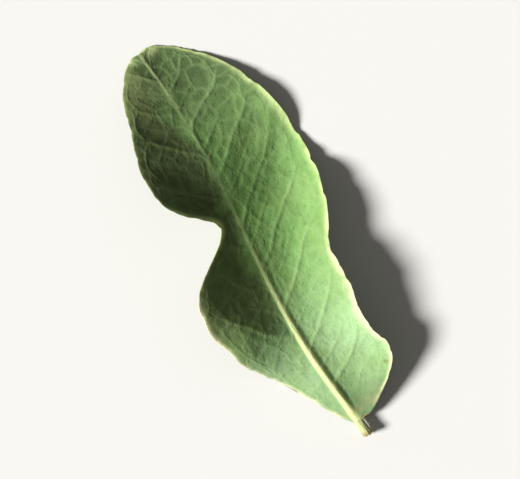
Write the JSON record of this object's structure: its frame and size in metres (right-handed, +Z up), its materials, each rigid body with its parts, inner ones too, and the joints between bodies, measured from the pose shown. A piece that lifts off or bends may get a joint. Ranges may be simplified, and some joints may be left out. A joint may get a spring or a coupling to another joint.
{
  "type": "dried moringa leaf",
  "caption": "Dried, curled leaflet of a compound leaf: oval green blade, underside up, with a raised pale midrib, side veins and a short stalk.",
  "frame": {"origin": "on the surface the leaf lies on, under the middle of its bounding box", "axes": "+Z up from the surface it lies on, +Y along the midrib from the stalk to the rounded tip"},
  "size_m": [0.01, 0.0248, 0.004],
  "materials": {
    "leaf_underside": "dry, satin, pale grey-green with lighter veins"
  },
  "bodies": {
    "root": {"leaf": "leaf_underside"}
  },
  "joints": []
}
